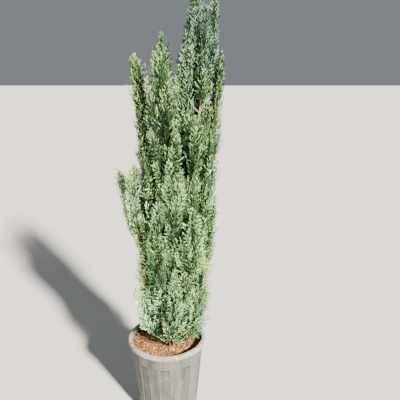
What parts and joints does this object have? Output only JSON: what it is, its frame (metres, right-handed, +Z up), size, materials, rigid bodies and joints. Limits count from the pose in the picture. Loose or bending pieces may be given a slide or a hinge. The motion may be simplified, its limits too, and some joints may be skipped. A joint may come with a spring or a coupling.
{
  "type": "potted columnar lawson cypress",
  "caption": "Columnar evergreen conifer with upright feathery plumes, a leaning slim trunk and steep boughs, growing in a tapered round nursery container.",
  "frame": {"origin": "centre of the container's flat underside", "axes": "+Z up, +X to the right as seen from the front, +Y away from the viewer"},
  "size_m": [0.4023, 0.3415, 1.8721],
  "materials": {
    "container": "matte",
    "potting_mix": "matte",
    "bark": "matte",
    "foliage": "matte"
  },
  "bodies": {
    "root": {"bough_lower_1": "bark", "bough_lower_2": "bark", "bough_lower_3": "bark", "bough_lower_4": "bark", "bough_lower_5": "bark", "bough_lower_6": "bark", "bough_middle_1": "bark", "bough_middle_2": "bark", "bough_middle_3": "bark", "bough_middle_4": "bark", "bough_middle_5": "bark", "bough_middle_6": "bark", "bough_outlier_high": "bark", "bough_outlier_low": "bark", "bough_skirt_1": "bark", "bough_skirt_2": "bark", "bough_skirt_3": "bark", "bough_skirt_4": "bark", "bough_skirt_5": "bark", "bough_skirt_6": "bark", "bough_upper_1": "bark", "bough_upper_2": "bark", "bough_upper_3": "bark", "bough_upper_4": "bark", "bough_upper_5": "bark", "bough_upper_6": "bark", "plume_leader_back": "foliage", "plume_leader_front": "foliage", "plume_leader_left": "foliage", "plume_leader_right": "foliage", "plume_leader_top": "foliage", "plume_lower_1": "foliage", "plume_lower_2": "foliage", "plume_lower_3": "foliage", "plume_lower_4": "foliage", "plume_lower_5": "foliage", "plume_lower_6": "foliage", "plume_middle_1": "foliage", "plume_middle_2": "foliage", "plume_middle_3": "foliage", "plume_middle_4": "foliage", "plume_middle_5": "foliage", "plume_middle_6": "foliage", "plume_outlier_high": "foliage", "plume_outlier_low": "foliage", "plume_skirt_1": "foliage", "plume_skirt_2": "foliage", "plume_skirt_3": "foliage", "plume_skirt_4": "foliage", "plume_skirt_5": "foliage", "plume_skirt_6": "foliage", "plume_upper_1": "foliage", "plume_upper_2": "foliage", "plume_upper_3": "foliage", "plume_upper_4": "foliage", "plume_upper_5": "foliage", "plume_upper_6": "foliage", "pot": "container", "potting_mix": "potting_mix", "trunk": "bark"}
  },
  "joints": []
}
